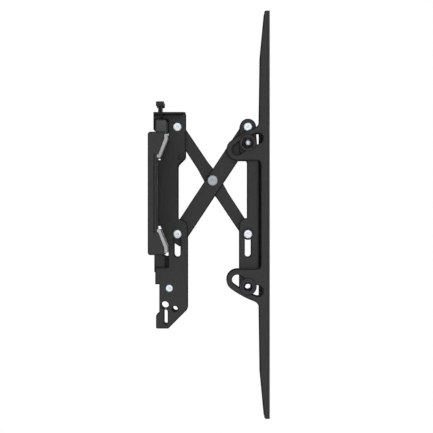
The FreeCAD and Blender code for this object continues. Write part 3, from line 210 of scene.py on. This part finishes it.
def plateCoat():
    # the wall plate's paint; the lips' sheared ends are left bare
    g = powderCoat("wallPlateCoat", **coats["sheet"])
    spot = g.place()
    x, y, z = [g.add("SeparateXYZ", inputs={"Vector": spot}, out=i) for i in range(3)]
    bare = (abs(y) > bareEnd["along"] * mm) * (abs(z) > bareEnd["above"] * mm) * (x > bareEnd["out"] * mm)
    shear = g.noise(260.0, 4.0, 0.6, stretch=(1, 1, 7))
    stain = g.noise(70.0, 3.0)
    steel = g.tint(shear * 0.6 + stain * 0.4, (0.14, 0.145, 0.145), (0.54, 0.55, 0.55))
    inputs = g.shader.inputs
    paint = Wire(g, inputs["Base Color"].links[0].from_socket)
    gloss = Wire(g, inputs["Roughness"].links[0].from_socket)
    relief = Wire(g, inputs["Normal"].links[0].from_socket)
    g.set(Base_Color=g.tint(bare, paint, steel), Metallic=bare,
          Roughness=gloss * (1 - bare) + (0.34 + shear * 0.22) * bare,
          Normal=g.bump(shear * bare, 0.5, 0.15 * mm, relief))
    return g.owner


def platedSteel(name, colour, dark, roughness):
    # zinc plate: cloudy lustre, fine turning scratches, painted shade darkening the rims
    g = finishGraph(name, Metallic=1.0)
    soft, edge = g.edges(0.3 * mm)
    cloud = g.noise(420.0, 4.0, 0.6)
    fine = g.noise(2600.0, 2.0, 0.5)
    tone = g.tint(cloud, scaled(colour, 0.84), colour)
    # painted shade: the colour darkens towards the given shade colour along the rims
    tone = g.tint(edge * 0.2, tone, dark)
    g.set(Base_Color=tone, Roughness=roughness + (cloud - 0.5) * 0.18 + fine * 0.06,
          Normal=g.bump(fine + cloud * 0.4, 0.25, 0.05 * mm, soft))
    return g.owner


def studThread(middle):
    # plated stud: bright cut end; the thread round it is painted near black as shade
    g = finishGraph("studThread", Metallic=1.0)
    soft, edge = g.edges(0.25 * mm)
    x, z = [g.add("SeparateXYZ", inputs={"Vector": g.place()}, out=i) - m for i, m in zip((0, 2), middle)]
    # painted shade: beyond the core radius the stud is coloured near black
    paintedShadeThread = (((x * x + z * z) ** 0.5) > studCore * mm) * 1.0
    fine = g.noise(1800.0, 3.0, 0.6)
    g.set(Base_Color=g.tint(paintedShadeThread, scaled(zinc, 0.9), (0.045, 0.046, 0.048)), Roughness=0.34 + fine * 0.16,
          Normal=g.bump(fine, 0.3, 0.05 * mm, soft))
    return g.owner


def blackOxide(name, low, high):
    g = finishGraph(name, Specular_IOR_Level=0.22)
    soft, edge = g.edges(0.3 * mm)
    oil = g.noise(300.0, 4.0, 0.6)
    fine = g.noise(2400.0, 2.0)
    rubbed = (edge * g.ramp(g.noise(600.0, 3.0), (0.35, 0.2), (0.6, 1.0))).clamped()
    tone = g.tint(oil, (low, low * 1.03, low * 1.05), (high, high * 1.02, high * 1.04))
    g.set(Base_Color=g.tint(rubbed * 0.35, tone, (0.20, 0.205, 0.21)), Metallic=rubbed * 0.4,
          Roughness=0.34 + oil * 0.14, Normal=g.bump(fine + oil, 0.2, 0.05 * mm, soft))
    return g.owner


def nylon():
    g = finishGraph("washerNylon", Specular_IOR_Level=0.3)
    soft, edge = g.edges(0.25 * mm)
    mottle = g.noise(500.0, 4.0, 0.6)
    g.set(Base_Color=g.tint(mottle, (0.007, 0.007, 0.0075), (0.016, 0.016, 0.017)),
          Roughness=0.5 + (mottle - 0.5) * 0.2, Normal=g.bump(mottle, 0.3, 0.06 * mm, soft))
    return g.owner


def springWire():
    g = finishGraph("springWire", Metallic=1.0)
    drawn = g.noise(900.0, 3.0, 0.5, stretch=(1, 1, 6))
    g.set(Base_Color=g.tint(drawn, (0.32, 0.33, 0.34), (0.60, 0.61, 0.63)), Roughness=0.26 + drawn * 0.2,
          Normal=g.bump(drawn, 0.3, 0.04 * mm))
    return g.owner


finish = {
    "powder_black": powderCoat("sheetCoat", **coats["sheet"]).owner,
    "hook_black": powderCoat("castCoat", **coats["cast"]).owner,
    "washerBlack": powderCoat("washerBlack", **coats["washer"]).owner,
    "screw_black": blackOxide("nutBlack", 0.006, 0.018),
    "screwHead": blackOxide("screwHead", 0.020, 0.052),
    "zinc": platedSteel("zincPlate", zinc, (0.30, 0.31, 0.33), 0.36),
    "zincDull": platedSteel("zincDull", scaled(zinc, 0.56), (0.20, 0.21, 0.22), 0.42),
    "bush_grey": platedSteel("darkZinc", (0.060, 0.062, 0.065), (0.10, 0.10, 0.11), 0.44),
    "nylon": nylon(),
    "spring_steel": springWire(),
}
slotOf = {part["node"]: part["material_slot"] for part in frame["record"]["subparts"]}
finishOf = {"wall_plate": plateCoat(), "left_tilt_washers": finish["washerBlack"],
            "right_tilt_washers": finish["washerBlack"]}
for name, node in nodes.items():
    coat = finishOf.get(name) or finish[slotOf[name]]
    node.data.materials.clear()
    node.data.materials.append(coat)
print("finishes made:", len(finish) + 1)


def clearSelection():
    if bpy.context.object and bpy.context.object.mode != "OBJECT":
        bpy.ops.object.mode_set(mode="OBJECT")
    bpy.ops.object.select_all(action="DESELECT")


def turnShape(name, profile, centre, along, ring=False, sides=64):
    # a turned piece: a circle grown ring by ring along its axis; a ring's last edge meets its first
    clearSelection()
    axis = Vector(along)
    tilt = (math.radians(90), 0, 0) if abs(axis.y) > 0.5 else (0, 0, 0)
    radius, place = profile[0]
    filled = "NOTHING" if ring else "NGON"
    bpy.ops.mesh.primitive_circle_add(vertices=sides, radius=radius * mm, fill_type=filled,
                                      location=Vector(centre) + axis * place * mm, rotation=tilt)
    piece = bpy.context.object
    bpy.ops.object.mode_set(mode="EDIT")
    bpy.ops.mesh.select_all(action="SELECT")
    grow = bpy.ops.mesh.extrude_edges_move if ring else bpy.ops.mesh.extrude_region_move
    for nextRadius, nextPlace in profile[1:] + ([profile[0]] if ring else []):
        step = axis * (nextPlace - place) * mm
        grow(TRANSFORM_OT_translate={"value": step})
        share = nextRadius / radius
        if abs(share - 1) > 1e-9:
            bpy.ops.transform.resize(value=(share, share, share),
                                     center_override=Vector(centre) + axis * nextPlace * mm)
        radius, place = nextRadius, nextPlace
    bpy.ops.mesh.select_all(action="SELECT")
    bpy.ops.mesh.remove_doubles(threshold=1e-7)
    bpy.ops.mesh.normals_make_consistent(inside=False)
    bpy.ops.object.mode_set(mode="OBJECT")
    piece.name = piece.data.name = name
    return piece


def cutWith(piece, tool, operation="DIFFERENCE"):
    clearSelection()
    bpy.context.view_layer.objects.active = piece
    piece.select_set(True)
    modifier = piece.modifiers.new("cut", "BOOLEAN")
    modifier.operation = operation
    modifier.solver = "EXACT"
    modifier.object = tool
    bpy.ops.object.modifier_apply(modifier="cut")
    bpy.data.objects.remove(tool)


def settle(piece, body, coat):
    bpy.ops.object.shade_smooth_by_angle(angle=math.radians(smoothAngle))
    piece.data.materials.clear()
    piece.data.materials.append(coat)
    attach(piece, body)
    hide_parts(piece.name[:-len("Piece")])
    piece.select_set(False)


def placePair(piece, body, slot, coat=None):
    # settles the left arm's piece, and a copy of it mirrored onto the right arm
    clearSelection()
    piece.select_set(True)
    bpy.context.view_layer.objects.active = piece
    bpy.ops.object.transform_apply(location=True, rotation=True, scale=True)
    bpy.ops.object.duplicate()
    twin = bpy.context.object
    twin.name = twin.data.name = piece.name.replace("left", "right", 1)
    bpy.ops.object.mode_set(mode="EDIT")
    bpy.ops.mesh.select_all(action="SELECT")
    bpy.ops.transform.resize(value=(1, -1, 1), center_override=(0, 0, 0))
    bpy.ops.mesh.normals_make_consistent(inside=False)
    bpy.ops.object.mode_set(mode="OBJECT")
    settle(twin, "right_" + body, coat or finish[slot])
    piece.select_set(True)
    bpy.context.view_layer.objects.active = piece
    settle(piece, "left_" + body, coat or finish[slot])


def span(node):
    # its middle line's x and z, where its outer end lies along the wall, and its length
    low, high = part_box(node)
    return (low.x + high.x) / 2, (low.z + high.z) / 2, low.y, (high.y - low.y) / mm


inward = (0, 1, 0)      # from an arm's outer face towards the middle of the mount, on the left arm


rivetSpec = {"head": 4.75, "high": 1.6, "dimple": 1.5, "dimpleDepth": 0.18, "crown": 0.10}


def rivetProfile(head, pin, long):
    # along the rivet from its outer head: spun crown with a small dimple, shank, the same crown again
    high, dimple = rivetSpec["high"], rivetSpec["dimple"] * head / rivetSpec["head"]
    deep, crown = rivetSpec["dimpleDepth"], rivetSpec["crown"]
    half = [
        (dimple * 0.45, deep), (dimple * 0.8, deep * 0.8), (dimple, deep * 0.15), (dimple * 1.12, 0.0),
        (head * 0.52, 0.02), (head * 0.60, crown * 0.5), (head * 0.64, crown * 0.4),
        (head * 0.88, crown), (head * 0.955, high * 0.16), (head * 0.99, high * 0.36),
        (head, high * 0.7), (head * 0.985, high), (pin, high),
    ]
    return half + [(r, long - p) for r, p in reversed(half)]


rivets = {
    "wall_pivot_rivet": ("bracket", 3.0, "zinc"), "wall_slide_rivet": ("outer_link_body", 3.0, "zinc"),
    "head_pivot_rivet": ("head", 3.0, "zinc"), "head_slide_rivet": ("inner_link_body", 3.0, "zinc"),
    "centre_rivet": ("inner_link_body", 3.0, "zincDull"), "latch_rivet": ("bracket", 2.0, "zinc"),
}


def makeRivets():
    for kind, (body, pin, coat) in rivets.items():
        node = "left_" + kind
        low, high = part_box(node)
        x, z, start, long = span(node)
        profile = rivetProfile((high.x - low.x) / 2 / mm, pin, long)
        placePair(turnShape(node + "Piece", profile, (x, start, z), inward), body, "zinc", finish[coat])


levelScrew = {"shank": 2.25, "root": 1.92, "pitch": 0.8, "head": 4.55, "headHigh": 5.7,
              "socket": 2.9, "socketDeep": 2.9, "knurl": 0.94}


def makeLevelScrews():
    # cap screw with a knurled head and a hexagon socket
    node = "left_level_screw"
    spec = levelScrew
    low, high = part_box(node)
    x, y = (low.x + high.x) / 2, (low.y + high.y) / 2
    tall = (high.z - low.z) / mm
    neck = tall - spec["headHigh"]
    profile = [(spec["shank"] - 0.55, 0.0), (spec["shank"] - 0.1, 0.45)]
    rise = 0.9
    while rise + spec["pitch"] < neck - 0.6:
        profile += [(spec["root"], rise), (spec["shank"], rise + spec["pitch"] * 0.42),
                    (spec["shank"], rise + spec["pitch"] * 0.58)]
        rise += spec["pitch"]
    head = spec["head"]
    profile += [(spec["root"], rise), (spec["shank"], neck - 0.3), (spec["shank"], neck), (head - 0.8, neck),
                (head - 0.3, neck + 0.35), (head, neck + 0.8), (head, tall - 0.65),
                (head - 0.3, tall - 0.15), (head - 0.6, tall)]
    screw = turnShape(node + "Piece", profile, (x, y, low.z), (0, 0, 1), sides=72)
    bpy.ops.object.mode_set(mode="EDIT")
    bpy.ops.mesh.select_all(action="DESELECT")
    bpy.ops.object.mode_set(mode="OBJECT")
    for vertex in screw.data.vertices:       # every third point round the head is pressed in
        away = screw.matrix_world @ vertex.co - Vector((x, y, 0))
        turn = round(math.degrees(math.atan2(away.y, away.x)) / 5.0) % 3
        vertex.select = turn == 0 and Vector(away.xy).length > (head - 0.2) * mm
    bpy.ops.object.mode_set(mode="EDIT")
    bpy.ops.transform.resize(value=(spec["knurl"], spec["knurl"], 1), center_override=(x, y, 0))
    bpy.ops.object.mode_set(mode="OBJECT")
    clearSelection()
    deep = spec["socketDeep"] * mm
    bpy.ops.mesh.primitive_cylinder_add(vertices=6, radius=spec["socket"] * mm / math.sqrt(3), depth=2 * deep,
                                        location=(x, y, high.z))
    cutWith(screw, bpy.context.object)
    placePair(screw, "screw", "screw_black", finish["screwHead"])


tiltSpec = {"stud": 4.0, "root": 3.55, "pitch": 1.1, "threadEnd": 8.4,
            "collar": 5.5, "collarLong": 4.45, "tail": 2.5,
            "nutFlats": 13.0, "nutHigh": 6.5, "lockHigh": 1.7, "bore": 4.06}


def makeTiltStuds():
    spec = tiltSpec
    x, z, start, long = span("left_tilt_stud")
    profile = [(1.3, 0.45), (1.7, 0.12), (2.3, 0.0), (spec["stud"] - 1.1, 0.0), (spec["stud"] - 0.35, 0.75)]
    place = 0.8
    while place + spec["pitch"] < spec["threadEnd"]:
        profile += [(spec["root"], place), (spec["stud"], place + spec["pitch"] * 0.45),
                    (spec["stud"], place + spec["pitch"] * 0.6)]
        place += spec["pitch"]
    collarEnd = long - spec["tail"]
    collarStart = collarEnd - spec["collarLong"]
    profile += [(spec["root"], place), (spec["stud"], collarStart - 0.4), (spec["stud"], collarStart),
                (spec["collar"] - 0.2, collarStart), (spec["collar"], collarStart + 0.2),
                (spec["collar"], collarEnd - 0.2),
                (spec["collar"] - 0.2, collarEnd), (spec["stud"], collarEnd), (spec["stud"], long)]
    stud = turnShape("left_tilt_studPiece", profile, (x, start, z), inward)
    placePair(stud, "head", "zinc", studThread((x, z)))


def makeTiltNuts():
    # lock nut: hexagon with turned-off corners, a rolled collar holding its nylon ring
    spec = tiltSpec
    x, z = span("left_tilt_stud")[:2]
    start = span("left_tilt_nut")[2]
    hexHigh = spec["nutHigh"] - spec["lockHigh"]
    corner = spec["nutFlats"] / math.sqrt(3)
    hexMiddle = start + (spec["lockHigh"] + hexHigh / 2) * mm
    clearSelection()
    turn = (math.radians(90), math.radians(12), 0)
    bpy.ops.mesh.primitive_cylinder_add(vertices=6, radius=corner * mm, depth=hexHigh * mm,
                                        location=(x, hexMiddle, z), rotation=turn)
    nut = bpy.context.object
    nut.name = nut.data.name = "left_tilt_nutPiece"
    bpy.ops.object.transform_apply(location=True, rotation=True, scale=True)
    flats = spec["nutFlats"] / 2
    crown = turnShape("crown", [
        (flats - 0.4, spec["lockHigh"]), (corner + 0.1, spec["lockHigh"] + 1.3),
        (corner + 0.1, spec["nutHigh"] - 1.0), (flats + 0.1, spec["nutHigh"])], (x, start, z), inward)
    cutWith(nut, crown, "INTERSECT")
    collar = turnShape("collar", [
        (4.5, 0.55), (5.05, 0.0), (5.5, 0.12), (5.85, 0.6), (6.0, spec["lockHigh"] + 0.3)],
        (x, start, z), inward)
    cutWith(nut, collar, "UNION")
    bore = turnShape("bore", [(spec["bore"], -2.0), (spec["bore"], spec["nutHigh"] + 2.0)],
                     (x, start, z), inward)
    cutWith(nut, bore)
    placePair(nut, "head", "screw_black")


def makeTiltBushes():
    # hollow flanged bush, rolled over at both ends
    x, z, start, long = span("left_tilt_bush")
    profile = [
        (3.1, 2.4), (4.7, 0.7), (5.0, 0.25), (5.35, 0.02), (6.5, 0.0), (7.0, 0.25),
        (7.3, 0.75), (7.3, 1.5), (4.3, 1.5), (4.3, 3.02), (5.5, 3.02), (5.5, 7.55),
        (4.3, 7.55), (4.3, long - 1.5),
        (7.3, long - 1.5), (7.3, long - 0.7), (6.9, long - 0.15), (5.6, long), (3.8, long),
        (3.25, long - 0.25), (3.1, long - 0.7),
    ]
    bush = turnShape("left_tilt_bushPiece", profile, (x, start, z), inward, ring=True)
    placePair(bush, "head", "bush_grey")


for make in (makeRivets, makeLevelScrews, makeTiltStuds, makeTiltNuts, makeTiltBushes):
    make()
    print(make.__name__, "done")

studio = {"floorHeight": -0.30, "floorRadius": 1.4, "floorMiddle": 0.06, "backdrop": 1.0, "room": 0.24,
          "lampsAimAt": (0.06, 0, -0.02)}
clearSelection()
bpy.ops.mesh.primitive_circle_add(vertices=96, radius=studio["floorRadius"], fill_type="NGON",
                                  location=(studio["floorMiddle"], 0.0, studio["floorHeight"]))
floor = bpy.context.object
floor.name = "floor"
floor.select_set(False)
paper = finishGraph("floorPaper", Specular_IOR_Level=0.2)
paper.set(Base_Color=paper.tint(paper.noise(6.0), (0.80, 0.80, 0.80), (0.84, 0.84, 0.84)), Roughness=0.8)
floor.data.materials.append(paper.owner)

# a white backdrop behind the mount, in a greyer room
scene.world = bpy.data.worlds.new("studio")
room = Graph(scene.world, "Background")
ahead = room.dot(room.add("TexCoord", out="Generated"), (0, 1, 0))
room.set(Color=room.ramp(ahead, (0.55, studio["room"]), (0.80, studio["backdrop"])), Strength=1.0)
scene.view_settings.view_transform = "Standard"

lights = {
    "key": {"at": (0.0, -3.0, 0.4), "size": 2.2, "power": 25.0},
    "low": {"at": (0.1, -2.2, -1.4), "size": 1.2, "power": 12.0},
    "top": {"at": (0.4, 0.2, 2.6), "size": 2.0, "power": 42.0},
    "front": {"at": (2.6, 0.3, 0.9), "size": 1.6, "power": 16.0},
    "rear": {"at": (-2.4, 0.6, 0.9), "size": 1.6, "power": 14.0},
}
for name, spec in lights.items():
    lamp = bpy.data.objects.new(name, bpy.data.lights.new(name, "AREA"))
    lamp.data.size = spec["size"]
    lamp.data.energy = spec["power"]
    lamp.location = spec["at"]
    towards = Vector(studio["lampsAimAt"]) - lamp.location
    lamp.rotation_euler = towards.to_track_quat("-Z", "Y").to_euler()
    scene.collection.objects.link(lamp)

cameraSpec = {"lens": 1500.0, "sensor": 36.0, "wide": 0.4763, "aim": (0.07535, -0.1605, -0.0253),
              "nearest": 0.1, "farthest": 80.0}
camera = bpy.data.objects.new("camera", bpy.data.cameras.new("camera"))
camera.data.lens = cameraSpec["lens"]
camera.data.sensor_width = cameraSpec["sensor"]
away = cameraSpec["wide"] * cameraSpec["lens"] / cameraSpec["sensor"]
camera.location = Vector(cameraSpec["aim"]) + Vector((0, -away, 0))
camera.rotation_euler = (math.radians(90), 0, 0)
camera.data.clip_start = cameraSpec["nearest"]
camera.data.clip_end = cameraSpec["farthest"]
scene.collection.objects.link(camera)
scene.camera = camera
print("studio ready")
